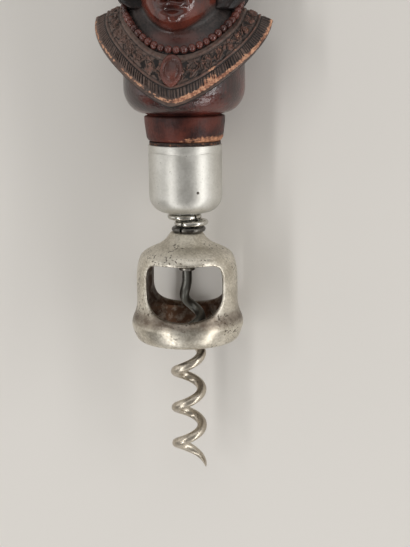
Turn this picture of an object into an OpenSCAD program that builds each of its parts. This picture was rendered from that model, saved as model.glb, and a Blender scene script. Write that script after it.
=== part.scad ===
// Figural corkscrew: a carved bust on a ferrule turns a wire worm inside a loose bell.
// Every piece is drawn upright, facing -Y with the shank on Z and the ferrule's rim at zero,
// and is then laid on its back, so that the head points along +Y and the face looks up.

/* [Ferrule] */
// Outside diameter
ferrule_d = 19.2; // [17:0.2:22]
// Length from rim to floor
ferrule_l = 18.2; // [16:0.2:22]
// Thickness of the drawn sheet
ferrule_wall = 0.8; // [0.5:0.1:1.2]
// Outside radius where the wall turns into the floor
ferrule_corner = 4.6; // [3:0.2:5.4]

/* [Worm] */
// Diameter of the wire and of the shank
wire_d = 2.6; // [2:0.1:3]
// Outside diameter of the coil
worm_d = 9.6; // [8.6:0.2:11.4]
// Rise of one turn
worm_pitch = 10.2; // [8:0.2:12]
// Length of the whole corkscrew, from the worm's point to the crown of the head
overall_l = 152.8; // [144:0.2:164]
// Length of shank held in the tenon
shank_hold = 14; // [10:0.5:14.5]

/* [Bell] */
// Outside diameter of the rim
bell_d = 29.8; // [28:0.2:32]
// Height from rim to neck
bell_h = 28.9; // [27:0.1:34]
// Height of the closed rim below the windows
rim_h = 7.2; // [5.4:0.2:9]
// Inside diameter of the mouth
mouth_d = 23.4; // [22:0.2:24.4]
// Diameter over the outside of the legs
leg_span = 26.8; // [25.6:0.2:27.4]
// Thickness of a leg
leg_wall = 2.7; // [2:0.1:3.2]
// Width of a window between the legs
window_w = 20.8; // [20.4:0.2:21]
// Diameter of the neck at its top
neck_d = 8.8; // [7.6:0.2:10]
// Turn of the bell at rest, from the bust's own front
bell_turn = 4; // [-45:1:45]

/* [Stop collar] */
// Outside diameter
stop_d = 4.3; // [3.8:0.1:5.4]
// Thickness
stop_h = 0.8; // [0.6:0.1:1.4]

/* [Thrust rings] */
// Outside diameter
ring_d = 9; // [8.4:0.1:10]
// Diameter of the wire
ring_wire = 1.4; // [1:0.05:1.6]
// Width of the split
ring_split = 0.7; // [0.3:0.1:1.5]
// Tilt of the middle ring
ring_tilt = 2.4; // [0:0.2:2.4]

/* [Cross pin] */
// Diameter
pin_d = 0.8; // [0.6:0.1:1.2]
// Height of the pin above the ferrule's floor
pin_rise = 6.4; // [5:0.2:8]
// Angle from the front
pin_angle = 30; // [0:1:90]

/* [Turned foot of the bust] */
// Diameter of the base
base_d = 21; // [20:0.2:24]
// Height of the base
base_h = 7.4; // [6:0.2:9]
// Diameter of the drum
drum_d = 31.4; // [30:0.2:34]
// Height at which the figure takes over from the turned drum
drum_top = 16.4; // [14.8:0.2:17.4]
// Radius of the drum's lower edge
drum_round = 4.6; // [2:0.2:5]
// Height of the dark neck that shows above the ferrule
shadow_h = 0.4; // [0.3:0.1:1.2]

/* [Cape] */
// Width over the shoulder points
cape_w = 45.8; // [42:0.2:50]
// How far the front point stands out from the shank
cape_out = 17.4; // [17:0.1:18.4]
// Height of the front point
cape_point_z = 10; // [9.6:0.2:12.4]
// Height of the shoulder points
shoulder_z = 30.4; // [28.4:0.2:32]
// How much higher the left shoulder point was carved
shoulder_lean = 1.5; // [0:0.1:2]
// Thickness of the cape at its front point; the shoulder points are half as thick
cape_edge = 1.4; // [1:0.1:2]
// Height of the brooch's middle
brooch_z = 19; // [18:0.2:19.8]
// Height of the necklace in front
necklace_z = 24; // [23.4:0.2:24.8]
// Thickness of the necklace
necklace_d = 2.3; // [1.6:0.1:2.6]

/* [Head] */
// Height of the chin
chin_z = 28.8; // [28.2:0.2:30.4]
// Height of the head, chin to crown
head_h = 35.6; // [33:0.2:39]
// Width of the face at the cheekbones
face_w = 23.4; // [21:0.2:25]
// How far the chin stands out from the shank
chin_out = 15; // [14:0.1:15.6]
// Width of the hair over the ears
hair_w = 33.6; // [31:0.2:36]

/* [Hidden] */
$fn = 96;
// Clearances: fixed parts, and the bell's bore on the shank
fit = 0.04;
run = 0.07;
shank_r = wire_d / 2;
// Heights along the shank, ferrule's rim at zero
ferrule_floor = -ferrule_l;
tilt_room = ring_d * sin(ring_tilt) * 1.1;
ring_play = 0.06;
ring_stack = 3 * ring_wire + tilt_room + 4 * ring_play;
bell_top = ferrule_floor - ring_stack;
bell_rim = bell_top - bell_h;
hub_under = bell_top - 9.4;
stop_top = hub_under - 0.12;
stop_under = stop_top - stop_h;
shank_top = ferrule_floor + ferrule_wall + shank_hold;
crown = chin_z + head_h;
worm_tip = crown - overall_l;
pin_z = ferrule_floor + pin_rise;
// The bust's back is planed flat where the bell's rim also touches the ground
lie_height = bell_d / 2;

// Lays an upright piece on its back, centred along its length
module laid() {
    translate([0, -(crown + worm_tip) / 2, lie_height])
        rotate([-90, 0, 0])
            children();
}

function clamp(v, low, high) = min(high, max(low, v));
function blend(a, b, t) = a + (b - a) * t;
function ease(low, high, v) =
    let (t = clamp((v - low) / (high - low), 0, 1)) t * t * (3 - 2 * t);
function hill(x, z, sx, sz) = exp(-pow(x / sx, 2) - pow(z / sz, 2));
function middle(ring) = [for (p = ring) 1] * ring / len(ring);

// Value of a smooth curve through [position, value] stations
function span(v, p, i = 0) = i >= len(p) - 2 || v <= p[i + 1][0] ? i : span(v, p, i + 1);
function lean(p, i) =
    let (a = p[max(0, i - 1)], b = p[min(len(p) - 1, i + 1)]) (b[1] - a[1]) / (b[0] - a[0]);
function curve(v, p) =
    let (i = span(v, p), h = p[i + 1][0] - p[i][0], t = clamp((v - p[i][0]) / h, 0, 1))
    (2 * pow(t, 3) - 3 * t * t + 1) * p[i][1] + (pow(t, 3) - 2 * t * t + t) * h * lean(p, i)
    + (3 * t * t - 2 * pow(t, 3)) * p[i + 1][1] + (pow(t, 3) - t * t) * h * lean(p, i + 1);

// Closed skin over a stack of rings, listed upwards and each anticlockwise from above
module loft(rings) {
    n = len(rings[0]);
    m = len(rings);
    points = concat([for (r = rings) each r], [middle(rings[0]), middle(rings[m - 1])]);
    sides = [for (i = [0 : m - 2], j = [0 : n - 1])
        let (a = i * n + j, b = i * n + (j + 1) % n)
        each j < n / 2 ? [[a, a + n, b], [b, a + n, b + n]] : [[a, b + n, b], [a, a + n, b + n]]];
    ends = [for (j = [0 : n - 1])
        let (k = (j + 1) % n, t = (m - 1) * n) each [[m * n, j, k], [m * n + 1, t + k, t + j]]];
    polyhedron(points, concat(sides, ends));
}

// Quarter round in a turned outline, from one angle to another
function arc(x, z, r, from, to, steps = 8) =
    [for (i = [0 : steps]) let (a = blend(from, to, i / steps)) [x + r * cos(a), z + r * sin(a)]];

module turned(outline) rotate_extrude() polygon(outline);

module ferrule() {
    r = ferrule_d / 2;
    c = ferrule_corner;
    w = ferrule_wall;
    color("silver") laid() difference() {
        turned(concat(
            [[shank_r + 0.2, ferrule_floor]],
            arc(r - c, ferrule_floor + c, c, -90, 0),
            [[r, 0], [r - w, 0]],
            arc(r - c, ferrule_floor + c, c - w, 0, -90),
            [[shank_r + 0.2, ferrule_floor + w]]));
        pin_bore(pin_d / 2 + fit);
    }
}

module pin_bore(r) {
    translate([0, 0, pin_z])
        rotate([90, 0, pin_angle])
            cylinder(r = r, h = ferrule_d + 4, center = true);
}

module cross_pin() {
    length = ferrule_d - 0.1;
    color("dimgray") laid()
        translate([0, 0, pin_z])
            rotate([90, 0, pin_angle])
                cylinder(d = pin_d, h = length, center = true);
}

// The coil is one tube along a right-handed helix; its point is drawn out and turned down,
// and its last part of a turn rises faster and bends in to the straight shank
worm_r = worm_d / 2 - shank_r;
tip_drop = 1.3;
lead_z = stop_under - 2.2;
lead_turn = 0.64;
lead_rise = 4.2;
worm_turns = (lead_z - worm_tip - tip_drop - lead_rise) / worm_pitch;
worm_steps = ceil(worm_turns * 24);
function lead(u) = clamp((u - worm_turns) / lead_turn + 1, 0, 1);
function wire_r(u) = shank_r * clamp(pow(u / 0.3, 0.55), 0.1, 0.98);
function worm_sweep(u) = worm_r * (1 - ease(0, 1, lead(u))) + 0.8 * (shank_r * 0.98 - wire_r(u));
function worm_at(u) = [
    worm_sweep(u) * cos(360 * u),
    worm_sweep(u) * sin(360 * u),
    worm_tip + tip_drop + worm_pitch * u + lead_rise * pow(lead(u), 1.5) - tip_drop * pow(1 - clamp(u / 0.5, 0, 1), 2)];
function unit(v) = v / norm(v);
function worm_ring(u, sides = 12) =
    let (
        t = u >= worm_turns ? [0, 0, 1] : unit(worm_at(u + 0.004) - worm_at(max(0, u - 0.004))),
        out = [cos(360 * min(u, worm_turns)), sin(360 * min(u, worm_turns)), 0],
        a = unit(out - (out * t) * t),
        b = cross(t, a))
    [for (i = [0 : sides - 1])
        worm_at(u) + wire_r(u) * (cos(360 * i / sides) * a + sin(360 * i / sides) * b)];

module worm() {
    color("lightslategray") laid() difference() {
        union() {
            translate([0, 0, lead_z])
                cylinder(r = shank_r, h = shank_top - lead_z);
            loft(concat(
                [for (i = [0 : worm_steps]) worm_ring(worm_turns * i / worm_steps)],
                [[for (p = worm_ring(worm_turns)) p + [0, 0, 0.6]]]));
        }
        pin_bore(pin_d / 2 + fit);
    }
}

module stop_collar() {
    r = stop_d / 2;
    color("gray") laid()
        turned([[shank_r + fit, stop_under], [r - 0.25, stop_under], [r, stop_under + 0.25],
            [r, stop_top - 0.25], [r - 0.25, stop_top], [shank_r + fit, stop_top]]);
}

// A split ring of round wire; the offset and split angle say how it has come to lie
module thrust_ring(z, offset, tilt, split_at) {
    track = (ring_d - ring_wire) / 2;
    gap = asin(ring_split / track);
    color("darkgray") laid()
        translate([offset, 0, z])
            rotate([0, tilt, 0])
                rotate([0, 0, split_at + gap / 2])
                    rotate_extrude(angle = 360 - gap)
                        translate([track, 0])
                            circle(d = ring_wire);
}
// Room for each ring to move sideways on the shank
ring_slack = (ring_d / 2 - ring_wire) - shank_r - 0.3;
upper_ring_z = ferrule_floor - ring_play - ring_wire / 2;
middle_ring_z = upper_ring_z - ring_wire - ring_play - tilt_room / 2;
lower_ring_z = middle_ring_z - ring_wire - ring_play - tilt_room / 2;

module upper_thrust_ring() thrust_ring(upper_ring_z, -0.3 * ring_slack, 0, -38);
module middle_thrust_ring() thrust_ring(middle_ring_z, 0.9 * ring_slack, -ring_tilt, -112);
module lower_thrust_ring() thrust_ring(lower_ring_z, 0.4 * ring_slack, 0, -106);

// Bell: one turned shell, opened by two windows whose edges are rounded off.
// Heights here are from the rim; a window is an outline in angle and height, wider at both skins,
// and its sill rolls down to the inside and the outside of the rim.
shoulder_h = bell_h - 7;
window_top = shoulder_h - 0.5;
window_mid = rim_h + 7;
sill_r = (mouth_d + bell_d) / 4 - 0.2;
sill_half = (bell_d - mouth_d) / 4 + 0.15;
function sill_drop(r) = 1.6 * pow(clamp(abs(r - sill_r) / sill_half, 0, 1), 2.2);
function window_flare(r) =
    let (outer = leg_span / 2, inner = outer - leg_wall)
    r > outer - 1 ? 0.9 * min(1.5, pow(r - outer + 1, 2)) : r < inner + 0.8 ? 0.5 * min(1.3, pow((inner + 0.8 - r) / 0.8, 2)) : 0;
function window_ring(r, sides = 48) =
    let (
        flare = window_flare(r),
        half = asin(min(0.965, window_w / 2 / r)) + flare / r * 57.3)
    [for (i = [0 : sides - 1])
        let (
            a = 360 * i / sides,
            n = sin(a) > 0 ? 5 : 2.2,
            across = sign(cos(a)) * pow(abs(cos(a)), 2 / n),
            up = sign(sin(a)) * pow(abs(sin(a)), 2 / n),
            reach = sin(a) > 0 ? window_top - window_mid + flare : window_mid - rim_h + sill_drop(r))
        polar(half * across, r, window_mid + reach * up)];

module window() {
    outer = leg_span / 2;
    inner = outer - leg_wall;
    skins = concat([for (d = [-0.4, 0.3, 1]) inner + d],
        [for (d = [-1, -0.6, -0.25, 0.1, 0.7, 1.2, 1.8]) outer + d]);
    loft(concat(
        [[for (p = window_ring(skins[0])) [p[0] * 0.9, -2, p[2]]]],
        [for (r = skins) window_ring(r)],
        [[for (p = window_ring(outer + 1.8)) [p[0], -outer - 4, p[2]]]]));
}

module bell() {
    R = bell_d / 2;
    s = shoulder_h;
    n = neck_d / 2;
    leg = leg_span / 2;
    inside = leg - leg_wall;
    mouth = mouth_d / 2;
    under = bell_h - 9.4;
    color("gainsboro") laid() translate([0, 0, bell_rim]) rotate([0, 0, bell_turn]) {
        difference() {
            turned([
                [mouth + 0.3, 0], [R - 2.2, 0], [R - 1.1, 0.6], [R - 0.5, 1.6], [R - 0.15, 3], [R, 4.4],
                [R - 0.05, 5.2], [R - 0.35, rim_h - 0.9], [R - 0.8, rim_h + 0.1], [leg + 0.3, rim_h + 1.4],
                [leg + 0.05, rim_h + 2.8], [leg, rim_h + 3.8], [leg, s - 5], [leg - 0.1, s - 3.2], [leg - 0.3, s - 1.8], [leg - 0.65, s - 0.4],
                [leg - 1.15, s + 0.9], [leg - 2, s + 2], [leg - 3.2, s + 2.9], [leg - 4.5, s + 3.6],
                [n + 2.9, s + 4.2], [n + 1.8, s + 4.8], [n + 0.9, s + 5.6], [n + 0.35, s + 6.4],
                [n, bell_h - 0.3], [n - 0.3, bell_h], [shank_r + run, bell_h],
                [shank_r + run, under], [n - 0.6, under], [n + 0.1, under + 0.3], [n + 0.4, under + 0.9],
                [n + 1.4, s - 0.9], [inside - 1.6, s - 0.8], [inside - 0.5, s - 1.4], [inside, s - 2.6],
                [inside, rim_h + 2.6], [inside + 0.2, rim_h + 1], [inside + 0.7, rim_h - 0.2],
                [mouth, rim_h - 1.2], [mouth, 0.3]]);
            window();
            rotate([0, 0, 180])
                window();
        }
    }
}

// Turned foot of the bust: tenon, dark neck, base and drum
module foot() {
    t = ferrule_d / 2 - ferrule_wall - fit;
    c = ferrule_corner - ferrule_wall;
    low = ferrule_floor + ferrule_wall + fit;
    b = base_d / 2;
    d = drum_d / 2;
    drum_z = shadow_h + base_h + 0.5;
    turned(concat(
        [[0, low]],
        arc(t - c, low + c, c, -90, 0),
        [[t, 0.05], [ferrule_d / 2 - 0.3, 0.05], [ferrule_d / 2 - 0.3, shadow_h]],
        arc(b - 1.8, shadow_h + 1.6, 1.6, -80, 0, 6),
        [[b, shadow_h + base_h - 0.6], [b - 0.5, shadow_h + base_h], [b - 0.9, drum_z]],
        arc(d - drum_round, drum_z + drum_round, drum_round, -90, 0),
        [[d, drum_top], [d - 1.2, drum_top + 0.8], [0, drum_top + 0.8]]));
}

// Angles round the figure, closest together in front; zero looks at -Y
figure_columns = 80;
front_share = 24;
figure_angles = [for (j = [0 : figure_columns - 1])
    let (t = 360 * j / figure_columns) t - front_share * sin(t)];
function front_turn(a) = abs(a > 180 ? a - 360 : a);
function polar(a, r, z) = [r * sin(a), -r * cos(a), z];
// Distance from the shank to an oval with its own half width, front and back
function oval(a, half_w, front, back, n = 2) =
    let (d = cos(a) > 0 ? front : back)
    pow(pow(abs(sin(a)) / half_w, n) + pow(abs(cos(a)) / d, n), -1 / n);

back = lie_height + 0.7;
// Lean of the cape and necklace, up on the left and a little down on the right
function uneven_cut(a) =
    let (turn = front_turn(a))
    shoulder_lean * (a > 180 ? pow(sin(turn), 1.5) : -0.53 * sin(min(180, 2 * turn)));
// Lower edge of the cape, a point in front and at each shoulder
function edge_z(a) =
    let (t = front_turn(a) / 90)
    uneven_cut(a) + (t < 1 ? blend(cape_point_z, shoulder_z, pow(t, 1.4))
        : blend(shoulder_z, shoulder_z - 2, ease(0, 1.1, t - 1)));
function edge_r(a) = oval(a, cape_w / 2, cape_out, back, cos(a) > 0 ? 1.9 : 2.3);
function edge_thick(a) = cape_edge * blend(1, 0.5, ease(40, 90, front_turn(a)));
// Necklace, low in front and rising to the hair
function necklace_at(a) = necklace_z + (shoulder_z + 2.8 - necklace_z) * pow(sin(min(90, front_turn(a))), 2.15)
    + 2.6 * ease(66, 96, front_turn(a)) + uneven_cut(a);
function necklace_r(a) = oval(a, 15, 14.3, back + 0.2);

function cape_ring(t) = [for (a = figure_angles)
    let (
        z = blend(edge_z(a) + edge_thick(a), necklace_at(a) - necklace_d * 0.55, t),
        r = blend(edge_r(a), necklace_r(a), t) + 0.7 * sin(180 * t) * max(0, cos(a)),
        x = r * sin(a),
        boss = cos(a) > 0 ? 0.9 * (1 - ease(0.75, 1.05, norm([x / 3, (z - brooch_z) / 4.2]))) : 0)
    polar(a, r + boss, z)];
function necklace_ring(t) = [for (a = figure_angles)
    polar(a, necklace_r(a) + necklace_d * 0.45 * sin(180 * t), necklace_at(a) + necklace_d * (t - 0.5))];

// Head: an oval face inside a fuller oval of hair, with the features as low hills.
// Heights are shares of the head from chin to crown, widths shares of the face.
face_width = [[0, 0.36], [0.05, 0.6], [0.13, 0.8], [0.25, 0.92], [0.42, 1], [0.58, 1.01], [0.75, 0.98],
              [0.88, 0.78], [0.96, 0.44], [1, 0.08]];
face_front = [[0, 0.8], [0.035, 0.95], [0.08, 1], [0.15, 0.95], [0.22, 0.96], [0.32, 0.94], [0.45, 0.93],
              [0.55, 0.91], [0.63, 0.94], [0.75, 0.91], [0.87, 0.74], [0.96, 0.42], [1, 0.08]];
hair_width = [[0, 0.93], [0.15, 0.96], [0.35, 1], [0.6, 1.0], [0.78, 0.9], [0.9, 0.66], [0.97, 0.36], [1, 0.08]];
// Place, height and spread of each feature: across, up, out, half width, half height
features = [
    [0, 0.365, 3.1, 1.7, 1.5], [0, 0.46, 1.8, 1.25, 3.3], [1.9, 0.35, 1, 1.1, 1],
    [0, 0.245, 0.8, 2.6, 0.8], [0, 0.195, 0.9, 2.3, 0.85], [0, 0.222, -0.5, 3, 0.4],
    [0, 0.075, 0.7, 2.8, 1.7], [4.6, 0.515, -1.5, 2.5, 1.8], [4.6, 0.51, 0.9, 1.7, 1],
    [4.6, 0.59, 0.6, 3.2, 1], [6.6, 0.4, 0.5, 2.8, 2.8]];
function feature_out(x, h) = [for (f = features) 1] * [for (f = features)
    f[2] * (hill(x - f[0], (h - f[1]) * head_h, f[3], f[4])
        + (f[0] == 0 ? 0 : hill(x + f[0], (h - f[1]) * head_h, f[3], f[4])))];
// Locks of hair: waves round the head that sway on their way up, and curl at their ends
lock_count = 18;
function uneven(a) = 0.6 * sin(3 * a + 60) + 0.4 * sin(7 * a + 120);
function lock_out(a, h) =
    let (
        z = h * head_h,
        sway = (a > 180 ? -6 : 6) * sin(36 * z + 80 * uneven(a)) * (1 - ease(0.72, 0.95, h)))
    0.42 * cos(lock_count * (a + sway)) * (1 - ease(0.9, 0.99, h))
    + 0.5 * sin(54 * z + 90 * uneven(a)) * (1 - ease(0.25, 0.5, h)) - 0.45;
// Angle from the front at which the hair begins
hairline = [[0, 62], [0.3, 60], [0.55, 54], [0.72, 40], [0.8, 18], [0.86, 0], [1, 0]];

function head_at(a, z) =
    let (
        h = clamp((z - chin_z) / head_h, 0, 1),
        turn = front_turn(a),
        wide = face_w / 2 * curve(h, face_width),
        front = chin_out * curve(h, face_front),
        hair = hair_w / 2 * curve(h, hair_width),
        flesh = oval(a, wide, front, front),
        x = flesh * sin(a),
        locks = oval(a, hair, front + 1.1, (back - 0.3) * curve(h, hair_width)) + lock_out(a, h),
        cover = curve(h, hairline) < 1 ? 1 : ease(curve(h, hairline) - 9, curve(h, hairline) + 9, turn),
        rise = cos(a) > 0 ? feature_out(x, h) * pow(cos(a), 0.5) * (1 - cover) : 0)
    polar(a, blend(flesh + rise, locks, cover), z);
// The head's lowest line runs from under the chin up to the hair at the back
function jaw_z(a) = blend(chin_z, necklace_at(a) + necklace_d + 0.6, ease(20, 75, front_turn(a)));
function head_ring(t) = [for (a = figure_angles) head_at(a, blend(jaw_z(a), crown - 0.02, t))];
function neck_ring(t) = [for (a = figure_angles)
    let (
        chest = necklace_r(a) - 1.2,
        throat = blend(min(11.6, chest), head_at(a, jaw_z(a))[0] == 0 ? 11.6 : norm([head_at(a, jaw_z(a))[0],
            head_at(a, jaw_z(a))[1]]) - 0.4, ease(40, 80, front_turn(a))),
        z = blend(necklace_at(a) + necklace_d * 0.5, jaw_z(a), 0.25 + 0.65 * t))
    polar(a, blend(chest, throat, t), z)];

module figure() {
    d = drum_d / 2;
    loft(concat(
        [[for (a = figure_angles) polar(a, d - 4, drum_top - 3)]],
        [[for (a = figure_angles) polar(a, d - 0.1, min(drum_top - 1, edge_z(a) + 1.8))]],
        [[for (a = figure_angles)
            polar(a, d - 0.07, blend(edge_z(a) + 0.9, shoulder_z - 6.6, ease(38, 86, front_turn(a))))]],
        [[for (a = figure_angles) polar(a, edge_r(a) - 0.25, edge_z(a))]],
        [for (i = [0 : 9]) cape_ring(i / 9)],
        [for (i = [0 : 4]) necklace_ring(i / 4)],
        [for (i = [0 : 1]) neck_ring(i)],
        [for (i = [0 : 32]) head_ring(1 - pow(1 - i / 33, 1.18))],
        [head_ring(0.985), head_ring(1)]));
}

module bust() {
    color("saddlebrown") laid() difference() {
        union() {
            foot();
            figure();
        }
        translate([0, 0, ferrule_floor])
            cylinder(r = shank_r + fit, h = shank_top + 0.3 - ferrule_floor);
        pin_bore(pin_d / 2 + fit);
        translate([-cape_w, lie_height, ferrule_floor])
            cube([2 * cape_w, cape_w, overall_l]);
    }
}

bust();
ferrule();
cross_pin();
worm();
stop_collar();
upper_thrust_ring();
middle_thrust_ring();
lower_thrust_ring();
bell();
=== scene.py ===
import math
import random

import bmesh
import bpy
import numpy as np
from mathutils import Matrix, Vector


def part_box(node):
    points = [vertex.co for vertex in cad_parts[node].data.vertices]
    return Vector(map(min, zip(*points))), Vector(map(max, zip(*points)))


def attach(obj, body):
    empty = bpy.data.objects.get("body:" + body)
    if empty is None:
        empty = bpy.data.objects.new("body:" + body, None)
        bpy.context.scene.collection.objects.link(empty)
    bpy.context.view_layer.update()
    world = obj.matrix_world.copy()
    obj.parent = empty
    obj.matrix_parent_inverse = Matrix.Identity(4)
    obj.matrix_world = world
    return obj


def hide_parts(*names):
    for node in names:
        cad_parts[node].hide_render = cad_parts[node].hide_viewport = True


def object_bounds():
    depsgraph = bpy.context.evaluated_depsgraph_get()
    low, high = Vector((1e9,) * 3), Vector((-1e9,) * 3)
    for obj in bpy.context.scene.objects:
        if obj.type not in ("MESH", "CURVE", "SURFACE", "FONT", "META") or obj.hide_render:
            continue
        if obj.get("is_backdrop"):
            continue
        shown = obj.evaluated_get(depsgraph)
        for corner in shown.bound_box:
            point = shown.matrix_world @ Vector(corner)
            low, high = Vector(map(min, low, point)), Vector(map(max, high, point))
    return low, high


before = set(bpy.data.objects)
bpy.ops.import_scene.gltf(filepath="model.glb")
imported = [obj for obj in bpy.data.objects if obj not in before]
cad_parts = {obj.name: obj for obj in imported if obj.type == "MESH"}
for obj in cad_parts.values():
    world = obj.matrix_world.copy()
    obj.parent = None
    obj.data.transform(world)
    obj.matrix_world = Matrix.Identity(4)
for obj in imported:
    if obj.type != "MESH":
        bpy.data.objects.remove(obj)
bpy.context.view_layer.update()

# Worm: one length of plated steel wire, straight where the handle holds it, then wound
# to a right-handed coil and ground to a point. Age has left it grey with small dark spots.
# Pieces are drawn upright in millimetres, facing -Y with the ferrule's rim at zero, then laid down.
ferrule_low, ferrule_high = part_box("ferrule")
LAID = (Matrix.Translation((0, ferrule_high.y, (ferrule_low.z + ferrule_high.z) / 2))
        @ Matrix.Rotation(-math.pi / 2, 4, "X") @ Matrix.Scale(0.001, 4))
FERRULE_FLOOR = (ferrule_low.y - ferrule_high.y) * 1000
BELL_RIM = (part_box("bell")[0].y - ferrule_high.y) * 1000
BELL_TOP = (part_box("bell")[1].y - ferrule_high.y) * 1000
WORM_TIP = (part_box("worm")[0].y - ferrule_high.y) * 1000
SHANK_R, SHANK_IN_TENON = 1.3, 4
COIL_R, COIL_PITCH = 3.5, 10.2
HUB_H, STOP_PLAY, STOP_H = 9.4, 0.12, 0.8
SHANK_UNDER_STOP = 2.2
LEAD_Z = BELL_TOP - HUB_H - STOP_PLAY - STOP_H - SHANK_UNDER_STOP
LEAD_TURN, LEAD_RISE = 0.64, 4.2
TIP_DROP, TIP_DROP_TURN, TIP_MARGIN = 1.3, 0.5, 0.1
GROUND_TURN, GROUND_LEFT = 0.3, 0.06
SHANK_TOP = FERRULE_FLOOR + SHANK_IN_TENON
COIL_TURNS = (LEAD_Z - WORM_TIP - TIP_DROP - LEAD_RISE) / COIL_PITCH
RINGS_PER_TURN, WIRE_SIDES = 44, 22
PIT_BROWN = (0.09, 0.072, 0.055)


class Signal:
    """A socket in a material; arithmetic on it adds Math nodes, and node() adds any other."""

    def __init__(self, socket):
        self.socket = socket

    def node(self, kind, settings, sockets, out=0):
        tree = self.socket.id_data
        made = tree.nodes.new(kind)
        for name, value in settings.items():
            setattr(made, name, value)
        for name, value in sockets.items():
            if isinstance(value, Signal):
                tree.links.new(value.socket, made.inputs[name])
            else:
                made.inputs[name].default_value = value
        return Signal(made.outputs[out])

    def calc(self, operation, first, second):
        return self.node("ShaderNodeMath", {"operation": operation}, {0: first, 1: second})

    def __add__(self, other):
        return self.calc("ADD", self, other)

    def __sub__(self, other):
        return self.calc("SUBTRACT", self, other)

    def __rsub__(self, other):
        return self.calc("SUBTRACT", other, self)

    def __mul__(self, other):
        return self.calc("MULTIPLY", self, other)

    __radd__ = __add__
    __rmul__ = __mul__

    def band(self, low, high):
        """0 below low and 1 above high, or the other way round where high is the smaller."""
        return self.node("ShaderNodeMapRange", {"interpolation_type": "SMOOTHSTEP"},
                         {"Value": self, "From Min": low, "From Max": high} if low < high else
                         {"Value": self, "From Min": high, "From Max": low, "To Min": 1.0, "To Max": 0.0})

    def noise(self, per_mm, detail, rough):
        """Cloudy value from 0 to 1 on this place, with per_mm clouds to the millimetre."""
        return self.node("ShaderNodeTexNoise", {},
                         {"Vector": self, "Scale": per_mm * 1000, "Detail": detail, "Roughness": rough})

    def stretched(self, x, y, z):
        return self.node("ShaderNodeMapping", {}, {"Vector": self, "Scale": (x, y, z)})

    def mixed(self, first, second):
        """Colour between first and second, by this factor."""
        first, second = (c if isinstance(c, Signal) else (*c, 1) for c in (first, second))
        return self.node("ShaderNodeMix", {"data_type": "RGBA"}, {0: self, 6: first, 7: second}, 2)


def new_finish(name, metallic=0.0, roughness=0.5, specular=0.5):
    """A material, the place on the piece that its patterns read, and a way to feed its shader."""
    material = bpy.data.materials.new(name)
    material.use_nodes = True
    tree = material.node_tree
    shader = tree.nodes["Principled BSDF"]
    shader.inputs["Metallic"].default_value = metallic
    shader.inputs["Roughness"].default_value = roughness
    shader.inputs["Specular IOR Level"].default_value = specular
    place = Signal(tree.nodes.new("ShaderNodeTexCoord").outputs["Object"])

    def feed(**sockets):
        for socket, signal in sockets.items():
            tree.links.new(signal.socket, shader.inputs[socket.replace("_", " ")])
    return material, place, feed


def relief(height, distance_mm, strength):
    return height.node("ShaderNodeBump", {},
                       {"Height": height, "Distance": distance_mm / 1000, "Strength": strength})


def aged_metal(name, bright, dull, roughness, pit_share, pit_mm, grime=0.5, shaded=None, shade=None,
               oxide=None):
    """Plate or steel gone satin, with cloudy tarnish, scratches and dark pits, and with masks
    for where shade, and on the bell a brown reflection, is painted into the colour, and for what a dull film
    covers."""
    material, place, feed = new_finish(name, metallic=1.0)
    cloud = place.noise(0.16, 4, 0.6)
    fine = place.noise(1.7, 3, 0.6)
    patch = place.noise(0.15, 2, 0.5).band(0.48, 0.64)
    specks = place.noise(1 / pit_mm, 2, 0.5).band(0.71 - pit_share, 0.75 - pit_share)
    pits = specks * (0.05 + 0.95 * patch)
    scratch = place.stretched(1, 0.12, 1).noise(3.2, 2, 0.7)
    plate = (0.55 * cloud + 0.45 * fine).band(0.36, 0.64).mixed(dull, bright)
    rough = roughness + 0.16 * (cloud - 0.5) + 0.12 * (fine - 0.5) + 0.25 * pits
    # The shaded mask paints shade into the plate's colour, toward the shade colour.
    if shaded:
        dark = shaded(place)
        plate = dark.mixed(plate, shade)
        rough = rough + 0.12 * dark
    if oxide:
        film = oxide(place)
        rough = rough + 0.1 * film
        feed(Metallic=1 - 0.2 * film)
    feed(Base_Color=(pits * grime).mixed(plate, PIT_BROWN), Roughness=rough,
         Normal=relief(0.05 * scratch + 0.3 * fine - pits, 0.09, 0.6))
    return material


def along_axis(place, axis):
    return place.node("ShaderNodeSeparateXYZ", {}, {"Vector": place}, axis)


def wire(bm, path, radii, sides):
    """Sweeps a round section along a path, ring by ring, and closes both ends."""
    def across(i, side):
        ahead = (path[min(i + 1, len(path) - 1)] - path[max(i - 1, 0)]).normalized()
        side = (side - ahead * side.dot(ahead)).normalized()
        return side, ahead.cross(side)

    def settle(ring, i, side, up):
        for k, vert in enumerate(ring):
            a = 2 * math.pi * k / sides
            vert.co = path[i] + radii[i] * (math.cos(a) * side + math.sin(a) * up)

    ring = bmesh.ops.create_circle(bm, segments=sides, radius=1)["verts"]
    first = list({e for v in ring for e in v.link_edges})
    side, up = across(0, Vector((0.3, 0.2, 1)))
    settle(ring, 0, side, up)
    edges = first
    for i in range(1, len(path)):
        grown = bmesh.ops.extrude_edge_only(bm, edges=edges)["geom"]
        new = {g for g in grown if isinstance(g, bmesh.types.BMVert)}
        ring = [next(e.other_vert(v) for e in v.link_edges if e.other_vert(v) in new) for v in ring]
        edges = [e for v in ring for e in v.link_edges if e.verts[0] in new and e.verts[1] in new]
        edges = list(set(edges))
        side, up = across(i, side)
        settle(ring, i, side, up)
    bmesh.ops.contextual_create(bm, geom=first)
    bmesh.ops.contextual_create(bm, geom=edges)


def piece(bm, name, material, sharp=40):
    """Makes a bmesh the named piece, laid down in metres with its place in its mesh."""
    bmesh.ops.recalc_face_normals(bm, faces=bm.faces)
    bm.transform(LAID)
    mesh = bpy.data.meshes.new(name)
    bm.to_mesh(mesh)
    bm.free()
    mesh.shade_smooth()
    mesh.set_sharp_from_angle(angle=math.radians(sharp))
    mesh.materials.append(material)
    made = bpy.data.objects.new(name, mesh)
    bpy.context.scene.collection.objects.link(made)
    return made


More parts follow.
